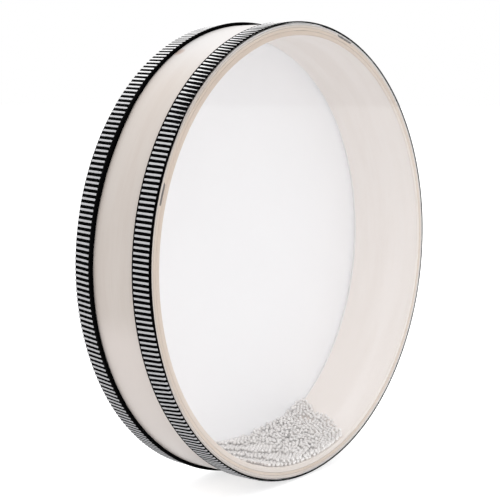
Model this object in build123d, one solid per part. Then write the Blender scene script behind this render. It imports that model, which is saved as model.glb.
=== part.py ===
from build123d import *
from math import cos, floor, radians, sin, sqrt, tan
import os

# Ocean drum: a bent plywood hoop with a clear head in front and a white head behind,
# a woven braid over the skirt of each head, and loose steel shot rolling inside.
# The drum stands on its rim. Y is the drum's axis and the clear head faces -Y.
# The origin is the drum's centre, +Z is up and all sizes are in millimetres.

# Hoop, laid up from four plies
hoop_diameter = 300.0
hoop_width = 59.5
outer_ply = 1.2
second_ply = 1.3
third_ply = 1.9
inner_ply = 2.2
glue_line = 0.12  # between bonded layers
rim_chamfer = 1.0  # both outer edges, under the fold of the heads
inner_chamfer = 1.2  # front inner edge, behind the clear head
bearing_bevel = 3.4  # 45 degree inner bevel that thins the edge under the white head

# Heads
film = 0.25
skirt_depth = 13.0

# Braids
braid_width = 12.9
braid_thickness = 1.0
braid_inset = 0.35  # from the hoop's edge to the braid's edge
piping_width = 1.9  # thick border of the rear braid, beside the bare wood
piping_reach = 1.4  # how much of it lies beyond the rest of the braid
piping_thickness = 1.6

# Shot
bead_diameter = 3.0
bead_pitch = 3.5  # between neighbours in the upper layer
bead_clearance = 0.3  # to the hoop and the heads
bead_seat = 0.2  # between the upper beads and the bed
shot_lean = 3.4  # degrees that the shot rises to the right
bed_rise = 6.0  # top of the bed over the lowest point inside the hoop
bed_fall = 2.5  # degrees that the bed falls towards the clear head
heap_rise = 9.0  # the same for the top of the heap of upper beads
heap_fall = 5.1
wave_left_end = -8.0  # where the upper beads part into the three waves
wave_right_start = 24.0

# Worked out from the sizes above
hoop_radius = hoop_diameter / 2
half_width = hoop_width / 2
plies = {
    "hoop_outer_ply": outer_ply,
    "hoop_second_ply": second_ply,
    "hoop_third_ply": third_ply,
    "hoop_inner_ply": inner_ply,
}
hoop_bore = hoop_radius - sum(plies.values()) - glue_line * (len(plies) - 1)
skirt_bore = hoop_radius + glue_line
skirt_radius = skirt_bore + film
fold_chamfer = rim_chamfer + film * (2 - sqrt(2))  # keeps the film's thickness round the fold
braid_bore = skirt_radius + glue_line
bead_radius = bead_diameter / 2
bed_radius = hoop_bore - bead_clearance
bed_half_width = half_width - bead_clearance


def hoop_section():
    """Section of the whole hoop, radius along X and the drum's axis along Y."""
    outline = Polyline(
        (hoop_bore, -half_width + inner_chamfer),
        (hoop_bore + inner_chamfer, -half_width),
        (hoop_radius, -half_width),
        (hoop_radius, half_width),
        (hoop_bore + bearing_bevel, half_width),
        (hoop_bore, half_width - bearing_bevel),
        close=True,
    )
    section = make_face(outline)
    return chamfer(section.vertices().group_by(Axis.X)[-1], rim_chamfer)


def hoop_plies():
    """The hoop's section sliced into plies, from the outside in, each bent into a ring."""
    section = hoop_section()
    rings = {}
    outside = hoop_radius
    for name, thickness in plies.items():
        band = Pos(outside - thickness / 2, 0) * Rectangle(thickness, hoop_width)
        rings[name] = revolve(section & band, axis=Axis.Y)
        outside -= thickness + glue_line
    return rings


def head(side):
    """Film drawn over the hoop's edge, with its skirt; side is -1 in front and 1 behind."""
    outer_face = half_width + film
    skirt_edge = half_width - skirt_depth
    outline = Polyline(
        (0, side * half_width),
        (0, side * outer_face),
        (skirt_radius - fold_chamfer, side * outer_face),
        (skirt_radius, side * (outer_face - fold_chamfer)),
        (skirt_radius, side * skirt_edge),
        (skirt_bore, side * skirt_edge),
        (skirt_bore, side * (half_width - rim_chamfer)),
        (skirt_bore - rim_chamfer, side * half_width),
        close=True,
    )
    return revolve(make_face(outline), axis=Axis.Y)


def braid_band(side):
    """Section of a braid, radius along X and the drum's axis along Y."""
    middle = side * (half_width - braid_inset - braid_width / 2)
    return Pos(braid_bore + braid_thickness / 2, middle) * Rectangle(braid_thickness, braid_width)


def front_braid():
    """Woven band over the skirt of the clear head."""
    return revolve(braid_band(-1), axis=Axis.Y)


def rear_braid():
    """Woven band over the skirt of the white head, with a piping that reaches onto the wood."""
    band_edge = half_width - braid_inset - braid_width
    middle = band_edge - piping_reach + piping_width / 2
    piping = Pos(braid_bore + piping_thickness / 2, middle) * Rectangle(piping_thickness, piping_width)
    return revolve(braid_band(1) + piping, axis=Axis.Y)


def shot_top(rise, fall, x, y):
    """Height of a leaning top of the shot over a place."""
    return rise - hoop_bore + x * tan(radians(shot_lean)) + y * tan(radians(fall))


def bead_bed():
    """The lower layers of shot as one solid with a leaning top, lying on the inside of the hoop."""
    slope = Vector(-tan(radians(shot_lean)), -tan(radians(bed_fall)), 1)
    top = Plane(origin=(0, 0, shot_top(bed_rise, bed_fall, 0, 0)), z_dir=slope)
    under_top = top * Box(hoop_diameter, hoop_diameter, hoop_radius, align=(Align.CENTER, Align.CENTER, Align.MAX))
    return Rot(90, 0, 0) * Cylinder(bed_radius, 2 * bed_half_width) & under_top


def bead():
    """One bead, with its corners on the bead's sphere."""
    golden = (1 + sqrt(5)) / 2
    corners = []
    for a in (-1, 1):
        for b in (-golden, golden):
            corners += [(a, b, 0), (0, a, b), (b, 0, a)]
    scale = bead_radius / sqrt(1 + golden**2)
    return ConvexPolyhedron([(x * scale, y * scale, z * scale) for x, y, z in corners])


def upper_places():
    """Centres of the upper beads: staggered rows along the drum's axis, as far as the heap's top allows."""
    row_gap = bead_pitch * sqrt(3) / 2
    rows_each_side = floor(bed_radius / row_gap)
    reach = bed_half_width - bead_radius
    beads_each_way = floor(reach / bead_pitch) + 1
    lift = (bead_radius + bead_seat) * Vector(tan(radians(shot_lean)), tan(radians(bed_fall)), 1).length
    places = []
    for row in range(-rows_each_side, rows_each_side + 1):
        stagger = bead_pitch / 2 if row % 2 else 0
        for step in range(-beads_each_way, beads_each_way + 1):
            x = row * row_gap
            y = step * bead_pitch + stagger
            z = shot_top(bed_rise, bed_fall, x, y) + lift
            inside = abs(y) <= reach and sqrt(x**2 + z**2) + bead_radius <= bed_radius
            if inside and z + bead_radius <= shot_top(heap_rise, heap_fall, x, y):
                places.append(Vector(x, y, z))
    return places


def bead_waves():
    """The upper beads, parted from left to right into the three waves that roll apart."""
    waves = {"bead_wave_left": [], "bead_wave_centre": [], "bead_wave_right": []}
    one_bead = bead()
    for place in upper_places():
        if place.X < wave_left_end:
            name = "bead_wave_left"
        elif place.X < wave_right_start:
            name = "bead_wave_centre"
        else:
            name = "bead_wave_right"
        waves[name].append(Pos(place) * one_bead)
    return {name: Compound(children=beads) for name, beads in waves.items()}


nodes = {
    **hoop_plies(),
    "front_head": head(-1),
    "rear_head": head(1),
    "front_braid": front_braid(),
    "rear_braid": rear_braid(),
    "bead_bed": bead_bed(),
    **bead_waves(),
}

os.makedirs("parts", exist_ok=True)
for node_name, shape in nodes.items():
    export_step(shape, f"parts/{node_name}.step")
    print(node_name, len(shape.solids()), round(shape.volume, 1))
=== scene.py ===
import random
from math import atan2, cos, degrees, hypot, radians, sin, sqrt, tan, tau

import bmesh
import bpy
from mathutils import Matrix, Vector
from mathutils.kdtree import KDTree

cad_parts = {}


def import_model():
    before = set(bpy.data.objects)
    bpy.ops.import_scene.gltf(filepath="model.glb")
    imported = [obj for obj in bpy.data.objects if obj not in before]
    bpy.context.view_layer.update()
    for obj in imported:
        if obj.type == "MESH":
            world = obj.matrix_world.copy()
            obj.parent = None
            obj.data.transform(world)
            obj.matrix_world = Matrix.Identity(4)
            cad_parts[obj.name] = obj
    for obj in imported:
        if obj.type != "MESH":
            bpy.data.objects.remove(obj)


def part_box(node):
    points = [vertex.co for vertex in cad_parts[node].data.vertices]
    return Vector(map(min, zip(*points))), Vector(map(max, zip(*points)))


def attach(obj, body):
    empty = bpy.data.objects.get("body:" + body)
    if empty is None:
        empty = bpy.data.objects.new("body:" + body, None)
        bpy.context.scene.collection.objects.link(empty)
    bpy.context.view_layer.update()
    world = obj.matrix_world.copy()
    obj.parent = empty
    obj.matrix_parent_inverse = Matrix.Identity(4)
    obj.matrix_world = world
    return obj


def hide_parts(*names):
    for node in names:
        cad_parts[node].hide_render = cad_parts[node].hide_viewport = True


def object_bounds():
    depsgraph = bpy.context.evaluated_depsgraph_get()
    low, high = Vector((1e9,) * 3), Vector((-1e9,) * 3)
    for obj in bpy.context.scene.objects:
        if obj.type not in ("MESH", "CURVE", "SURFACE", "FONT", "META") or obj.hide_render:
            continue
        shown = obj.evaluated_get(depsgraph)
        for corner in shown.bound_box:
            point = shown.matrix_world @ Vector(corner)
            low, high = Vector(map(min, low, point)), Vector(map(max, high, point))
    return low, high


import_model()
cad_low, cad_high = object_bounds()

# Ocean drum: a plywood hoop with a clear head in front and a white one behind, a woven braid
# over each edge and loose steel shot inside. Y is the drum's axis and the clear head faces -Y.
# All sizes are in metres.
MM = 0.001
TINY = 0.001 * MM

# Sizes that the frame gives
plies = ("hoop_outer_ply", "hoop_second_ply", "hoop_third_ply", "hoop_inner_ply")
ply_radius = {ply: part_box(ply)[1].x for ply in plies}
hoop_radius = ply_radius["hoop_outer_ply"]
half_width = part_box("hoop_outer_ply")[1].y
skirt_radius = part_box("rear_head")[1].x
head_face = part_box("rear_head")[1].y
skirt_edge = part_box("rear_head")[0].y
braid_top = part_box("front_braid")[1].x
braid_inner_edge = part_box("rear_braid")[0].y

# Hoop
glue_line = 0.12 * MM
inner_ply = 2.2 * MM
hoop_bore = ply_radius["hoop_inner_ply"] - inner_ply
rim_round = 1.0 * MM
front_inner_round = 0.8 * MM
most_swell = 1.3 * MM  # how much thicker the wall looks at its front edge
inner_swell = (  # shares of that by angle from the top, in degrees; the tables below go by angle too
    (-180, 0.9), (-160, 0.8), (-145, 0.7), (-120, 0.9), (-100, 1.0), (-25, 1.0), (-5, 0.6), (15, 0.2),
    (40, 0.0), (120, 0.0), (150, 0.4), (180, 0.9),
)
bearing_bevel = 4.4 * MM  # 45 degree inner bevel that thins the edge under the white head
ply_ease = 0.08 * MM
under_film = 0.03 * MM  # gap between the wood and the heads
void_depth = 1.3 * MM
void_share = 0.85  # of the ply's thickness
voids = {  # middle and half length, in degrees
    "hoop_third_ply": (-71.3, 2.6),
    "hoop_second_ply": (17.7, 3.2),
}

# Painted light from below, a painted highlight's tint over the top and a knot on the wood, as angles and
# lengths
painted_fill_from, painted_fill_to = radians(-98), radians(-108)
highlight_tint_from, highlight_tint_to = radians(-45), radians(-22)
knot_angle = radians(-29.5)
knot_axis = 13.8 * MM
knot_length, knot_width = 4.5 * MM, 4.0 * MM

# Heads
film = head_face - half_width

# Braids
braid_bore = skirt_radius + glue_line
front_bars = (286, -87.62)  # bars in a turn and the place of one of them, in degrees
rear_bars = (282, -87.5)
rear_drift = (  # degrees that the rear bars lie out of step, where the braid was pulled
    (-180, 0.0), (-135, 0.31), (-115, 0.14), (-105, -0.04), (-85, -0.27), (-70, -0.4), (-55, -0.16),
    (-45, 0.15), (-25, 0.7), (0, 0.0), (180, 0.0),
)
front_bar = (-31.6 * MM, -17.45 * MM)  # ends along the axis, laid flat
rear_bar = (18.3 * MM, 29.8 * MM)
bar_width = 1.45 * MM
bar_height = 0.7 * MM
bar_round = 0.3 * MM
bar_proud = 0.02 * MM
ground_depth = 0.2 * MM  # of the black ground under braid_top
thread_twist = 900.0  # turns in a metre
top_light_from, top_light_to = radians(-56), radians(-34)  # where painted light from above turns the bars whiter
curl_start = -29.2 * MM  # from here on the front braid curls over the hoop's edge
curl_radius = 150.46 * MM  # middle of the curl
curl_drop, curl_reach = 1.05 * MM, 1.55 * MM  # half axes of the curl, over the bars
curl_bend = 1.3 * MM  # length of bar that goes into one radian of the curl
curl_stations, station_gap = 6, 0.4 * MM  # where a bar is cut to bend
bar_curl = (  # shares of the curl that a front bar's end goes round
    (-180, 0.3), (-165, 0.5), (-150, 0.7), (-120, 0.75), (-106, 0.6), (-97, 0.2), (-80, 0.15),
    (-10, 0.15), (15, 0.05), (180, 0.05),
)
front_lip = (  # shares of the front piping's curl
    (-180, 0.2), (-165, 0.7), (-150, 0.9), (-122, 0.9), (-106, 1.7), (-94, 1.8), (-80, 1.3), (-60, 0.9),
    (-48, 0.0), (180, 0.0),
)
flat_edge = -29.7 * MM  # edge and radius of the front piping where it doesn't curl
flat_piping = 150.8 * MM
front_tilt = (  # degrees that the bars stand askew
    (-180, 0.0), (-140, 0.0), (-120, 5.0), (-108, 0.5), (-90, -2.0), (-70, -3.0), (-60, -4.8),
    (-45, -7.5), (-30, -10.0), (-15, -10.0), (20, 0.0), (180, 0.0),
)
rear_tilt = (
    (-180, -13.0), (-125, -13.0), (-110, -9.5), (-90, -6.5), (-80, -4.0), (-65, -3.8), (-50, -4.5),
    (-40, -4.5), (-28, -3.0), (0, 0.0), (180, 0.0),
)
rear_wander = (  # mm that the edge of the rear piping is shifted backwards
    (-180, 0.5), (-150, 0.6), (-120, 0.7), (-100, 0.9), (-90, 0.7), (-80, 0.1), (-70, -0.5), (-62, -0.8),
    (-55, -0.6), (-47, 0.2), (-40, 0.8), (-25, 1.0), (0, 1.0), (30, 0.5), (180, 0.5),
)
wander_reach, wander_ease = 2.2 * MM, 1.2 * MM  # how much of the piping shifts, and how softly
bar_follow = 0.8  # share of the shift that the rear bars follow

# Shot
bead_radius = 1.3 * MM
bead_pitch = 2.7 * MM
bead_apart = 2.61 * MM  # middles nearer than this are pushed apart
bead_clearance = 0.1 * MM  # to the wood and the heads
layer_rise = 2.12 * MM
layers = 5
heap_rise = 7.9 * MM  # over the lowest point inside the hoop
heap_fall = radians(5.1)  # towards the clear head
heap_lean = radians(7.0)  # up to the right, from lean_start on
lean_start = 15.0 * MM
bed_left = -37.0 * MM  # edges of the lowest layer, of which the right one slants by bed_skew
bed_right = 64.5 * MM
bed_skew = radians(25.0)
widest = radians(40)  # angle to either side that is tried for places
ragged_by = 0.9  # mm that the heap's top is uneven; the lowest layer's edges are by twice as much
sink_step = 0.06 * MM  # in a round of settling
loose_start = 5.0 * MM  # to the right of this the beads lie less neatly
gaps_left, gaps_right = 0.02, 0.12  # shares of the places that are empty
tight_stir, loose_stir = 1.0 * MM, 1.5 * MM
wave_left_end = -8.0 * MM
wave_right_start = 24.0 * MM

ring_steps = 288
torn_steps = 720
sharp_angle = radians(40)
draw = random.Random(11)


# Building materials

def tone(red, green, blue):
    """A colour as a screen shows it, from 0 to 255, made linear for a shader."""
    shares = [level / 255 for level in (red, green, blue)]
    return [s / 12.92 if s <= 0.04045 else ((s + 0.055) / 1.055) ** 2.4 for s in shares] + [1.0]


class Finish:
    """A material in the making: a Principled shader and the nodes that feed it."""

    def __init__(self, name):
        self.material = bpy.data.materials.new(name)
        self.material.use_nodes = True
        self.nodes = self.material.node_tree.nodes
        self.links = self.material.node_tree.links
        self.shader = self.nodes["Principled BSDF"]

    def feed(self, socket, value):
        """Links a socket to another node's output, or sets its value."""
        if isinstance(value, bpy.types.NodeSocket):
            self.links.new(value, socket)
        else:
            socket.default_value = value

    def set(self, **values):
        """Feeds the shader's own sockets; an underscore in a name stands for a space."""
        for name, value in values.items():
            self.feed(self.shader.inputs[name.replace("_", " ")], value)

    def math(self, operation, *values):
        node = self.nodes.new("ShaderNodeMath")
        node.operation = operation
        for socket, value in zip(node.inputs, values):
            self.feed(socket, value)
        return node.outputs[0]

    def remap(self, value, low, high, to_low=0.0, to_high=1.0):
        """Smoothly carries low..high over to to_low..to_high."""
        node = self.nodes.new("ShaderNodeMapRange")
        node.interpolation_type = "SMOOTHSTEP"
        for socket, number in zip(node.inputs, (value, low, high, to_low, to_high)):
            self.feed(socket, number)
        return node.outputs[0]

    def mix(self, share, first, second):
        node = self.nodes.new("ShaderNodeMix")
        node.data_type = "RGBA"
        self.feed(node.inputs["Factor"], share)
        colours = [socket for socket in node.inputs if socket.type == "RGBA"]
        self.feed(colours[0], first)
        self.feed(colours[1], second)
        return next(socket for socket in node.outputs if socket.type == "RGBA")

    def place(self):
        """Where a point of the piece is, as x, y and z."""
        where = self.nodes.new("ShaderNodeTexCoord").outputs["Object"]
        parts = self.nodes.new("ShaderNodeSeparateXYZ")
        self.feed(parts.inputs[0], where)
        return parts.outputs

    def vector(self, x, y, z):
        node = self.nodes.new("ShaderNodeCombineXYZ")
        for socket, value in zip(node.inputs, (x, y, z)):
            self.feed(socket, value)
        return node.outputs[0]

    def round_the_hoop(self):
        """Way round from the top, place along the drum's axis and distance from it, in metres."""
        x, y, z = self.place()
        way_round = self.math("MULTIPLY", self.math("ARCTAN2", x, z), hoop_radius)
        squares = self.math("ADD", self.math("MULTIPLY", x, x), self.math("MULTIPLY", z, z))
        return way_round, y, self.math("POWER", squares, 0.5)

    def noise(self, vector, scale=1.0, detail=2.0, roughness=0.5):
        node = self.nodes.new("ShaderNodeTexNoise")
        self.feed(node.inputs["Vector"], vector)
        self.feed(node.inputs["Scale"], scale)
        self.feed(node.inputs["Detail"], detail)
        self.feed(node.inputs["Roughness"], roughness)
        return node.outputs["Fac"]

    def bump(self, height, distance, strength=1.0):
        node = self.nodes.new("ShaderNodeBump")
        self.feed(node.inputs["Height"], height)
        self.feed(node.inputs["Distance"], distance)
        self.feed(node.inputs["Strength"], strength)
        self.links.new(node.outputs[0], self.shader.inputs["Normal"])


def grain(finish, place, along=30.0, across=1800.0):
    """Long fibres that run round the hoop, from 0 to 1."""
    way_round, axis, out = place
    stretched = finish.vector(
        finish.math("MULTIPLY", way_round, along),
        finish.math("MULTIPLY", axis, across),
        finish.math("MULTIPLY", out, across),
    )
    return finish.noise(stretched, detail=4.0, roughness=0.6)


def veneer(name, pale, streak, band):
    """Sanded wood with its grain round the hoop: pale, with broad bands and fine streaks. The bevel
    behind is painted near-white: painted light over the shade in its groove."""
    finish = Finish(name)
    place = finish.round_the_hoop()
    fibres = grain(finish, place)
    broad = grain(finish, place, along=7.0, across=60.0)
    colour = finish.mix(finish.remap(broad, 0.35, 0.7), pale, band)
    colour = finish.mix(finish.remap(fibres, 0.5, 0.85, 0.0, 0.4), colour, streak)
    # Painted light: the wood on the bevel behind is painted near-white, over the shade in the groove
    # under the head.
    bevel_start = half_width - bearing_bevel
    painted_light_on_bevel = finish.remap(place[1], bevel_start - 0.2 * MM, bevel_start + 0.4 * MM)
    colour = finish.mix(painted_light_on_bevel, colour, tone(254, 251, 248))
    sanded = finish.remap(fibres, 0.2, 0.8, 0.42, 0.55)
    finish.set(Roughness=sanded, Coat_Weight=0.4, Coat_Roughness=0.3)
    finish.bump(fibres, 0.01 * MM, 0.3)
    return finish, place, colour


def face_veneer():
    """Outer ply: bare between the braids, with one small knot beside the rear braid."""
    finish, place, colour = veneer(
        "face_veneer", tone(208, 199, 192), tone(188, 175, 165), tone(202, 191, 183),
    )
    way_round, axis, _ = place
    # Painted light: the wood is painted lighter from the left side down over the bottom, where light from
    # below falls.
    painted_fill_light = finish.remap(way_round, painted_fill_from * hoop_radius, painted_fill_to * hoop_radius)
    colour = finish.mix(painted_fill_light, colour, tone(219, 209, 203))
    # Painted highlight: from the upper left over the top, where the light falls brightest, the wood is
    # painted a less warm tone.
    painted_highlight_tint = finish.remap(way_round, highlight_tint_from * hoop_radius, highlight_tint_to * hoop_radius)
    colour = finish.mix(painted_highlight_tint, colour, tone(206, 202, 200))
    knot_way = knot_angle * hoop_radius
    across = finish.math("DIVIDE", finish.math("SUBTRACT", way_round, knot_way), knot_length)
    up = finish.math("DIVIDE", finish.math("SUBTRACT", axis, knot_axis), knot_width)
    away = finish.math("ADD", finish.math("MULTIPLY", across, across), finish.math("MULTIPLY", up, up))
    colour = finish.mix(finish.remap(away, 0.05, 1.2, 0.8, 0.0), colour, tone(180, 158, 146))
    finish.set(Base_Color=colour)
    return finish.material


def torn_veneer(name, pale, streak, band):
    """A middle ply, seen only at its edge. The gap in its front edge is painted dark brown inside:
    painted shade.
    """
    finish, place, colour = veneer(name, pale, streak, band)
    axis = place[1]
    # Painted shade: the ply's wood behind its front edge, inside the gap, is painted dark brown.
    behind_edge = finish.remap(axis, -half_width + 0.06 * MM, -half_width + 0.2 * MM)
    before_middle = finish.math("LESS_THAN", axis, 0.0)
    painted_shade_in_gap = finish.math("MULTIPLY", behind_edge, before_middle)
    finish.set(Base_Color=finish.mix(painted_shade_in_gap, colour, tone(60, 40, 30)))
    return finish.material


def inner_veneer():
    """Inner ply: its smooth inside is pale and its front edge tan, with painted shade on the rounded edge
    towards the upper left and painted light towards the lower right.
    """
    finish, place, colour = veneer(
        "pale_veneer", tone(249, 242, 237), tone(232, 220, 211), tone(244, 236, 230),
    )
    axis = place[1]
    x, _, z = finish.place()
    # Painted light and shade: the rounded front edge is painted tan where it faces away from the light at
    # the upper left, and pale where it faces the light at the lower right.
    painted_light_to_lower_right = finish.remap(finish.math("SUBTRACT", x, z), -1.2 * hoop_radius, 1.2 * hoop_radius)
    edge = finish.mix(painted_light_to_lower_right, tone(214, 195, 178), tone(238, 229, 222))
    at_edge = finish.remap(axis, -half_width + 0.3 * MM, -half_width + 1.4 * MM, 1.0, 0.0)
    fibres = grain(finish, place, along=60.0, across=2600.0)
    edge = finish.mix(finish.remap(fibres, 0.45, 0.8, 0.0, 0.35), edge, tone(186, 163, 144))
    finish.set(Base_Color=finish.mix(at_edge, colour, edge))
    return finish.material


def clear_film():
    """Clear head: see-through, with the gloss of a thin film that grows at a slant."""
    finish = Finish("clear_film")
    finish.set(Base_Color=(1, 1, 1, 1), Metallic=1.0, Roughness=0.04)
    slant = finish.nodes.new("ShaderNodeLayerWeight")
    slant.inputs["Blend"].default_value = 0.5
    gloss = finish.math("MULTIPLY_ADD", finish.math("POWER", slant.outputs["Facing"], 5.0), 0.96, 0.04)
    see_through = finish.nodes.new("ShaderNodeBsdfTransparent")
    both = finish.nodes.new("ShaderNodeMixShader")
    finish.feed(both.inputs["Fac"], gloss)
    finish.links.new(see_through.outputs[0], both.inputs[1])
    finish.links.new(finish.shader.outputs[0], both.inputs[2])
    finish.links.new(both.outputs[0], finish.nodes["Material Output"].inputs["Surface"])
    return finish.material


def white_head():
    """Coated white film, very slightly pebbled."""
    finish = Finish("white_head")
    x, y, z = finish.place()
    here = finish.vector(x, y, z)
    cloud = finish.noise(here, scale=14.0, detail=2.0)
    pebble = finish.noise(here, scale=1600.0, detail=2.0)
    finish.set(
        Base_Color=finish.mix(cloud, tone(246, 245, 246), tone(249, 248, 249)),
        Roughness=finish.remap(pebble, 0.3, 0.7, 0.5, 0.62),
    )
    finish.bump(pebble, 0.02 * MM, 0.4)
    through = finish.nodes.new("ShaderNodeBsdfTranslucent")
    through.inputs["Color"].default_value = tone(249, 249, 250)
    both = finish.nodes.new("ShaderNodeMixShader")
    both.inputs["Fac"].default_value = 0.42
    finish.links.new(finish.shader.outputs[0], both.inputs[1])
    finish.links.new(through.outputs[0], both.inputs[2])
    finish.links.new(both.outputs[0], finish.nodes["Material Output"].inputs["Surface"])
    return finish.material


def woven(name, thread, shade, threads_across, round_hoop, sheen, painted_top_light=0.0):
    """Thread, with its strands along the drum's axis or round the hoop, and with painted light that
    whitens it past the upper left.
    """
    finish = Finish(name)
    way_round, axis, out = finish.round_the_hoop()
    across = axis if round_hoop else way_round
    along = way_round if round_hoop else axis
    ribs = finish.math("SINE", finish.math("MULTIPLY", across, tau * threads_across))
    slant = finish.math("MULTIPLY", across, tau * thread_twist)
    twist = finish.math("MULTIPLY_ADD", along, tau * thread_twist, slant)
    strands = finish.math("MULTIPLY_ADD", finish.math("SINE", twist), 0.35, ribs)
    fuzz = finish.noise(finish.vector(way_round, axis, out), scale=2500.0, detail=3.0)
    height = finish.math("MULTIPLY_ADD", fuzz, 0.8, strands)
    colour = finish.mix(finish.remap(height, -1.0, 1.4), shade, thread)
    # Painted light: past the upper left the thread is painted whiter, as if lit from above.
    if painted_top_light:
        painted_light_near_top = finish.remap(way_round, top_light_from * hoop_radius, top_light_to * hoop_radius, 0.0, painted_top_light)
        colour = finish.mix(painted_light_near_top, colour, tone(255, 255, 255))
    finish.set(
        Base_Color=colour,
        Roughness=0.8,
        Specular_IOR_Level=0.02 + 0.4 * sheen,
        Sheen_Weight=sheen,
        Sheen_Roughness=0.4,
    )
    finish.bump(height, 0.05 * MM, 0.6)
    return finish.material


def steel():
    """Bright steel balls, no two quite alike."""
    finish = Finish("steel_shot")
    x, y, z = finish.place()
    here = finish.vector(x, y, z)
    each = finish.noise(here, scale=260.0, detail=1.0)
    smear = finish.noise(here, scale=1500.0, detail=2.0)
    finish.set(
        Base_Color=finish.mix(finish.remap(each, 0.3, 0.7), tone(232, 229, 227), tone(248, 246, 245)),
        Metallic=0.75,
        Roughness=finish.remap(smear, 0.3, 0.7, 0.4, 0.52),
    )
    return finish.material


finishes = {
    "face_veneer": face_veneer(),
    "dark_veneer": torn_veneer(
        "dark_veneer", tone(222, 210, 200), tone(190, 170, 154), tone(210, 196, 184),
    ),
    "tan_veneer": torn_veneer(
        "tan_veneer", tone(222, 205, 189), tone(192, 168, 148), tone(212, 193, 175),
    ),
    "pale_veneer": inner_veneer(),
    "clear_film": clear_film(),
    "white_head": white_head(),
    "braid_ground": woven("braid_ground", tone(4, 4, 5), tone(0, 0, 0), 1100.0, True, 0.0),
    "braid_bar": woven("braid_bar", tone(226, 226, 228), tone(148, 148, 153), 1900.0, False, 0.5, 0.9),
    "steel_shot": steel(),
}


# Building pieces

def piece(name, bm, finish, body, slot, *stands_for):
    """Makes an object of a bmesh and lets it ride on a body, in place of the named nodes."""
    mesh = bpy.data.meshes.new(name)
    bm.to_mesh(mesh)
    bm.free()
    mesh.shade_smooth()
    mesh.set_sharp_from_angle(angle=sharp_angle)
    mesh.materials.append(finishes[finish])
    made = bpy.data.objects.new(name, mesh)
    bpy.context.scene.collection.objects.link(made)
    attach(made, body)
    if stands_for:
        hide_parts(*stands_for)


def spun(section, steps=ring_steps):
    """Spins a closed section about the drum's axis. A corner is its radius, its place along the
    axis and, where it is eased, the size of its round."""
    bm = bmesh.new()
    corners = [bm.verts.new((corner[0], corner[1], 0)) for corner in section]
    bm.faces.new(corners)
    for vert, corner in zip(corners, section):
        if len(corner) > 2:
            bmesh.ops.bevel(
                bm, geom=[vert], offset=corner[2], offset_type="OFFSET", segments=4,
                profile=0.5, affect="VERTICES", material=-1,
            )
    bmesh.ops.delete(bm, geom=bm.faces[:], context="FACES_ONLY")
    on_axis = [edge for edge in bm.edges if all(vert.co.x < TINY for vert in edge.verts)]
    bmesh.ops.delete(bm, geom=on_axis, context="EDGES")
    bmesh.ops.spin(
        bm, geom=bm.verts[:] + bm.edges[:], cent=(0, 0, 0), axis=(0, 1, 0), dvec=(0, 0, 0),
        angle=tau, steps=steps, use_merge=True, use_duplicate=False,
    )
    bmesh.ops.remove_doubles(bm, verts=bm.verts[:], dist=TINY)
    bmesh.ops.recalc_face_normals(bm, faces=bm.faces[:])
    return bm


def ply_bore(ply):
    """Inside of a ply: a glue line outside the next one, or the hoop's bore."""
    if ply == plies[-1]:
        return hoop_bore
    next_ply = plies[plies.index(ply) + 1]
    return ply_radius[next_ply] + glue_line


def rear_edge(radius):
    """Where the wood ends behind at a radius: bevelled inside to a narrow edge under the head."""
    return min(half_width, half_width - bearing_bevel + radius - hoop_bore) - under_film


def ply_section(ply):
    """Corners of a ply's section, from the front edge's inside round to the bevelled rear edge."""
    outside, inside = ply_radius[ply], ply_bore(ply)
    front = -half_width + under_film
    is_outer, is_inner = ply == plies[0], ply == plies[-1]
    corners = [
        (inside, front, front_inner_round if is_inner else ply_ease),
        (outside, front, rim_round if is_outer else ply_ease),
        (outside, rear_edge(outside), rim_round if is_outer else ply_ease),
    ]
    bevel_top = hoop_bore + bearing_bevel
    if inside < bevel_top < outside:
        corners.append((bevel_top, rear_edge(bevel_top)))
    return corners + [(inside, rear_edge(inside))]


def torn_ply(ply):
    """A ply with a gap where the outer corner of its front edge is torn."""
    section = ply_section(ply)
    outside, front = ply_radius[ply], -half_width + under_film
    void_width = void_share * (outside - ply_bore(ply))
    section[1:2] = [(outside - void_width, front), (outside, front)]
    bm = spun(section, steps=torn_steps)
    middle, half = voids[ply]
    for vert in bm.verts:
        at_outer_corner = hypot(vert.co.x, vert.co.z) > outside - TINY and vert.co.y < front + TINY
        if at_outer_corner:
            away = (degrees(atan2(vert.co.x, vert.co.z)) - middle) / half
            vert.co.y += void_depth * sqrt(max(0.0, 1 - away * away))
    return bm


def along_table(table, way_round):
    """Smooth value between the rows of a table of angles and values."""
    for (before, low), (after, high) in zip(table, table[1:]):
        if before <= way_round <= after:
            share = (way_round - before) / (after - before)
            return low + (high - low) * share * share * (3 - 2 * share)


def swell_at(y):
    """How much thicker the wall may be at a place along the axis: most at the front, nothing behind."""
    return most_swell * (half_width - y) / (2 * half_width)


def swollen_ply(ply):
    """The inner ply, thicker at its front edge on the left and at the bottom."""
    bm = spun(ply_section(ply))
    for vert in bm.verts:
        radius = hypot(vert.co.x, vert.co.z)
        if vert.co.y < 0 and radius < hoop_bore + front_inner_round + TINY:
            share = along_table(inner_swell, degrees(atan2(vert.co.x, vert.co.z)))
            swell = share * swell_at(vert.co.y)
            vert.co.x *= 1 - swell / radius
            vert.co.z *= 1 - swell / radius
    return bm


def hoop():
    """The four plies, each a ring."""
    slots = ("face_veneer", "dark_veneer", "tan_veneer", "pale_veneer")
    for ply, slot in zip(plies, slots):
        if ply in voids:
            ring = torn_ply(ply)
        elif ply == plies[-1]:
            ring = swollen_ply(ply)
        else:
            ring = spun(ply_section(ply))
        piece(f"{ply}_wood", ring, slot, "drum", slot, ply)


def head(node, side, slot):
    """A film drawn over the hoop's edge, with its skirt."""
    inside = half_width
    section = [
        (0, side * inside),
        (skirt_radius - film - 2 * rim_round, side * inside),
        (skirt_radius - film, side * inside, rim_round),
        (skirt_radius - film, side * abs(skirt_edge)),
        (skirt_radius, side * abs(skirt_edge)),
        (skirt_radius, side * head_face, rim_round + film),
        (skirt_radius - 2 * rim_round, side * head_face),
        (0, side * head_face),
    ]
    piece(f"{node}_film", spun(section), slot, "drum", slot, node)


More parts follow.
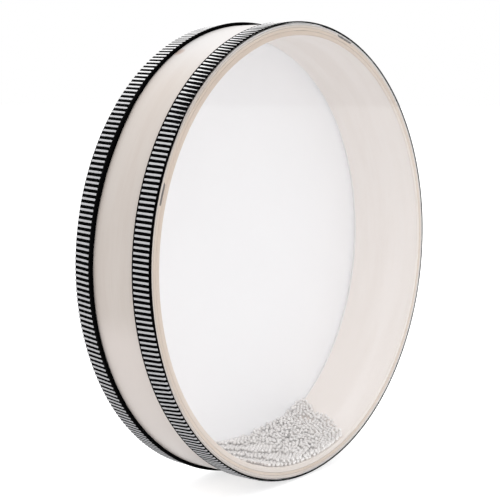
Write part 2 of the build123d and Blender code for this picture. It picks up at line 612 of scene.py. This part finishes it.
def braid_section(side):
    """Corners of a braid's section, in mm: borders beside a sunk ground. Each braid has a thick piping
    on its front side, which curls over the hoop's edge on the front braid and lies on the wood on the
    rear one."""
    bore, top = braid_bore / MM, braid_top / MM
    ground = top - ground_depth / MM
    if side < 0:
        return [
            (bore, -16.5), (top, -16.5, 0.35), (top, -17.4, 0.3), (ground, -17.5), (ground, -29.1),
            (151.0, -29.5), (150.96, -29.95), (150.82, -30.4), (150.5, -30.65), (150.1, -30.6),
            (149.8, -30.35), (149.7, -30.0), (150.1, -29.75), (150.42, -29.25), (bore, -28.8),
        ]
    return [
        (bore, 29.4), (150.6, 29.9), (ground, 29.9, 0.2), (ground, 18.2), (151.4, 18.1),
        (151.7, 17.7), (152.0, 17.1), (152.2, 16.2), (151.95, 15.5), (151.3, 15.1), (150.6, 15.1),
        (150.05, 15.5), (150.05, 16.4), (150.45, 16.6), (bore, 17.0),
    ]


def curl_front(bm):
    """Lets the front piping curl over the hoop's edge on one side only; elsewhere it lies flat."""
    for vert in bm.verts:
        if vert.co.y < curl_start:
            lip = along_table(front_lip, degrees(atan2(vert.co.x, vert.co.z)))
            radius = hypot(vert.co.x, vert.co.z)
            flat_radius = min(max(radius, braid_bore + TINY), flat_piping)
            flat = max(vert.co.y, flat_edge)
            share = lip if radius < flat_radius else min(lip, 1.0)
            new_radius = flat_radius + (radius - flat_radius) * share
            vert.co.x *= new_radius / radius
            vert.co.z *= new_radius / radius
            vert.co.y = flat + (vert.co.y - flat) * min(lip, 1.0)


def wander_rear(bm):
    """Lets the edge of the rear piping wander along the wood, as it was laid by hand."""
    start = braid_inner_edge + wander_reach
    for vert in bm.verts:
        if vert.co.y < start:
            reach = along_table(rear_wander, degrees(atan2(vert.co.x, vert.co.z))) * MM
            vert.co.y += reach * min(1.0, (start - vert.co.y) / wander_ease)


def curl_bars(bm):
    """Bends the front bars' ends over the hoop's edge, far at the lower left and hardly elsewhere."""
    over_bars = braid_top + bar_proud
    for vert in bm.verts:
        beyond = curl_start - vert.co.y
        if beyond > 0:
            radius = hypot(vert.co.x, vert.co.z)
            share = along_table(bar_curl, degrees(atan2(vert.co.x, vert.co.z)))
            bend = beyond * share / curl_bend
            sunk = over_bars - radius
            new_radius = curl_radius + (curl_drop - sunk) * cos(bend)
            vert.co.x *= new_radius / radius
            vert.co.z *= new_radius / radius
            vert.co.y = curl_start - (curl_reach - sunk) * sin(bend)


def bar_place(side, middle, angle):
    """Seat of a bar at an angle, a little tilted and shifted as the braid was laid by hand."""
    way_round = (angle + 180) % 360 - 180
    if side > 0:
        angle += along_table(rear_drift, way_round)
    shift = bar_follow * along_table(rear_wander, way_round) * MM if side > 0 else 0.0
    seat = Matrix.Translation((0, middle + shift, braid_top + bar_proud - bar_height / 2))
    askew = along_table(rear_tilt if side > 0 else front_tilt, way_round)
    tilt = Matrix.Rotation(radians(askew), 4, "Z")
    return Matrix.Rotation(radians(angle), 4, "Y") @ seat @ tilt


def braid(node, side, bars):
    """Woven band with its crosswise bars, each a small pillow."""
    section = [tuple(number * MM for number in corner) for corner in braid_section(side)]
    ground = spun(section)
    if side < 0:
        curl_front(ground)
    else:
        wander_rear(ground)
    piece(f"{node}_ground", ground, "braid_ground", "drum", "braid", node)

    ends = front_bar if side < 0 else rear_bar
    one_bar = bmesh.new()
    bmesh.ops.create_cube(one_bar, size=1.0)
    bmesh.ops.scale(one_bar, verts=one_bar.verts[:], vec=(bar_width, ends[1] - ends[0], bar_height))
    top = [edge for edge in one_bar.edges if all(vert.co.z > 0 for vert in edge.verts)]
    bmesh.ops.bevel(
        one_bar, geom=top, offset=bar_round, offset_type="OFFSET", segments=3,
        profile=0.5, affect="EDGES", material=-1,
    )
    middle = (ends[0] + ends[1]) / 2
    if side < 0:
        for station in range(curl_stations):
            cut = (0, curl_start - station * station_gap - middle, 0)
            every_part = one_bar.verts[:] + one_bar.edges[:] + one_bar.faces[:]
            bmesh.ops.bisect_plane(
                one_bar, geom=every_part, dist=TINY, plane_co=cut, plane_no=(0, 1, 0),
            )
    places = [bar_place(side, middle, bar * 360 / bars[0] + bars[1]) for bar in range(bars[0])]
    every_bar = copies(one_bar, places)
    if side < 0:
        curl_bars(every_bar)
        curl_front(every_bar)
    piece(f"{node}_bars", every_bar, "braid_bar", "drum", "braid")


def copies(one, places):
    """One bmesh with a copy of a shape at each of the places."""
    mesh = bpy.data.meshes.new("one")
    every = bmesh.new()
    for place in places:
        one.to_mesh(mesh)
        mesh.transform(place)
        every.from_mesh(mesh)
    one.free()
    bpy.data.meshes.remove(mesh)
    return every


def heap_top(x, y):
    """Height of the shot's leaning top over a place."""
    lean = max(0.0, x - lean_start) * tan(heap_lean)
    return -hoop_bore + heap_rise + y * tan(heap_fall) + lean


def layer_of_beads(layer):
    """Places of a layer, in staggered rows along the drum's axis, in the hollows of the layer below."""
    radius = hoop_bore - bead_clearance - bead_radius - layer * layer_rise
    row_angle = bead_pitch * sqrt(3) / 2 / (hoop_bore - bead_radius)
    rows = int(widest / row_angle)
    reach = half_width - bead_clearance - bead_radius
    places = []
    for row in range(-rows, rows + 1):
        angle = (row + layer / 3) * row_angle
        x, z = radius * sin(angle), -radius * cos(angle)
        stagger = 0.5 * ((row + layer) % 2)
        for step in range(int(2 * reach / bead_pitch) + 1):
            y = (step + stagger) * bead_pitch - reach
            ragged = draw.uniform(-ragged_by, ragged_by) * MM
            under_top = z + bead_radius < heap_top(x, y) + ragged
            bed_end = bed_left if x < 0 else bed_right + y * tan(bed_skew)
            lowest = layer == 0 and abs(x) < abs(bed_end) + 2 * ragged
            missing = draw.random() < (gaps_right if x > loose_start else gaps_left)
            if y < reach + TINY and (under_top or lowest) and not missing:
                places.append(Vector((x, y, z)))
    return places


def stir(places):
    """Shifts the beads a little on the left and more on the right, where they lie loosely."""
    for place in places:
        far = loose_stir if place.x > loose_start else tight_stir
        place += Vector((draw.uniform(-far, far), draw.uniform(-far, far), draw.uniform(-far, far) / 2))


def settle(places, rounds=60):
    """Lets the beads sink, pushes apart those that overlap and keeps all of them inside the drum."""
    reach = half_width - bead_clearance - bead_radius
    farthest = hoop_bore - bead_clearance - bead_radius
    for turn in range(rounds):
        near = KDTree(len(places))
        for index, place in enumerate(places):
            near.insert(place, index)
        near.balance()
        sink = sink_step if turn < rounds / 2 else 0.0
        for index, place in enumerate(places):
            place.z -= sink
            for _, other, _ in near.find_range(place, bead_apart):
                if other > index:
                    apart = place - places[other]
                    push = max(0.0, bead_apart - apart.length) / 2
                    place += apart.normalized() * push
                    places[other] -= apart.normalized() * push
        for place in places:
            place.y = min(max(place.y, -reach), reach)
            out = hypot(place.x, place.z)
            allowed = farthest - swell_at(place.y)
            if out > allowed:
                place.x *= allowed / out
                place.z *= allowed / out


def beads(body, places):
    """A small ball at each place."""
    ball = bmesh.new()
    bmesh.ops.create_uvsphere(ball, u_segments=8, v_segments=6, radius=bead_radius)
    balls = copies(ball, [Matrix.Translation(place) for place in places])
    piece(f"{body}_beads", balls, "steel_shot", body, "steel_shot", body)


def shot():
    """Loose beads in layers: the lowest is the bed and the upper ones the three waves."""
    by_layer = [layer_of_beads(layer) for layer in range(layers)]
    every = [place for layer in by_layer for place in layer]
    stir(every)
    settle(every)
    waves = {"bead_wave_left": [], "bead_wave_centre": [], "bead_wave_right": []}
    for place in every[len(by_layer[0]):]:
        if place.x < wave_left_end:
            waves["bead_wave_left"].append(place)
        elif place.x < wave_right_start:
            waves["bead_wave_centre"].append(place)
        else:
            waves["bead_wave_right"].append(place)
    beads("bead_bed", by_layer[0])
    for body, places in waves.items():
        beads(body, places)


hoop()
head("front_head", -1, "clear_film")
head("rear_head", 1, "white_head")
braid("front_braid", -1, front_bars)
braid("rear_braid", 1, rear_bars)
shot()


# Stage: a white floor that keeps a soft shadow, soft lamps and the photograph's camera
floor_size = 30.0
floor_gap = 0.6 * MM  # under the drum
floor_grey = 0.62
floor_glow = 0.7  # lets the eye see the floor as white
world_level = 1.1
lens = 94.59
camera_place = (-0.6983, -0.5377, 0.1025)
camera_down, camera_turn = 6.64, -51.58  # degrees under the horizon and from the drum's axis


def seen_directly(nodes, links):
    """1 for rays that show the backdrop to the eye: from the camera, a reflection or through glass."""
    path = nodes.new("ShaderNodeLightPath")
    first = nodes.new("ShaderNodeMath")
    first.operation = "MAXIMUM"
    links.new(path.outputs["Is Camera Ray"], first.inputs[0])
    links.new(path.outputs["Is Glossy Ray"], first.inputs[1])
    both = nodes.new("ShaderNodeMath")
    both.operation = "MAXIMUM"
    links.new(first.outputs[0], both.inputs[0])
    links.new(path.outputs["Is Transmission Ray"], both.inputs[1])
    return both.outputs[0]


def floor():
    """A wide white floor at the foot of the drum."""
    bm = bmesh.new()
    bmesh.ops.create_grid(bm, x_segments=1, y_segments=1, size=floor_size)
    bmesh.ops.translate(bm, verts=bm.verts[:], vec=(0, 0, cad_low.z - floor_gap))
    mesh = bpy.data.meshes.new("floor")
    bm.to_mesh(mesh)
    bm.free()
    material = bpy.data.materials.new("floor_paper")
    material.use_nodes = True
    nodes, links = material.node_tree.nodes, material.node_tree.links
    shader = nodes["Principled BSDF"]
    shader.inputs["Base Color"].default_value = (floor_grey, floor_grey, floor_grey, 1)
    shader.inputs["Roughness"].default_value = 1.0
    shader.inputs["Specular IOR Level"].default_value = 0.0
    shader.inputs["Emission Color"].default_value = (1, 1, 1, 1)
    glow = nodes.new("ShaderNodeMath")
    glow.operation = "MULTIPLY"
    glow.inputs[1].default_value = floor_glow
    links.new(seen_directly(nodes, links), glow.inputs[0])
    links.new(glow.outputs[0], shader.inputs["Emission Strength"])
    mesh.materials.append(material)
    ground = bpy.data.objects.new("floor", mesh)
    bpy.context.scene.collection.objects.link(ground)


def world(level):
    """Even white light all round, seen as plain white."""
    made = bpy.data.worlds.new("studio")
    made.use_nodes = True
    nodes, links = made.node_tree.nodes, made.node_tree.links
    background = nodes["Background"]
    background.inputs["Color"].default_value = (1, 1, 1, 1)
    strength = nodes.new("ShaderNodeMapRange")
    strength.inputs["To Min"].default_value = level
    strength.inputs["To Max"].default_value = 1.0
    links.new(seen_directly(nodes, links), strength.inputs["Value"])
    links.new(strength.outputs[0], background.inputs["Strength"])
    bpy.context.scene.world = made


def lamp(name, place, size, watts):
    """A square soft lamp that faces the drum."""
    light = bpy.data.lights.new(name, "AREA")
    light.shape = "SQUARE"
    light.size = size
    light.energy = watts
    made = bpy.data.objects.new(name, light)
    turn = (-Vector(place)).to_track_quat("-Z", "Y").to_matrix().to_4x4()
    made.matrix_world = Matrix.Translation(place) @ turn
    bpy.context.scene.collection.objects.link(made)


def camera():
    """The photograph's view: from the left front, a little above."""
    data = bpy.data.cameras.new("camera")
    data.sensor_width = 36.0
    data.lens = lens
    made = bpy.data.objects.new("camera", data)
    made.location = camera_place
    made.rotation_euler = (radians(90 - camera_down), 0, radians(camera_turn))
    bpy.context.scene.collection.objects.link(made)
    bpy.context.scene.camera = made


floor()
world(world_level)
lamp("key", place=(0.5, 0.35, 1.5), size=1.0, watts=9.5)
lamp("back", place=(0.3, 1.7, 0.4), size=1.2, watts=5.5)
camera()
bpy.context.scene.view_settings.view_transform = "Standard"
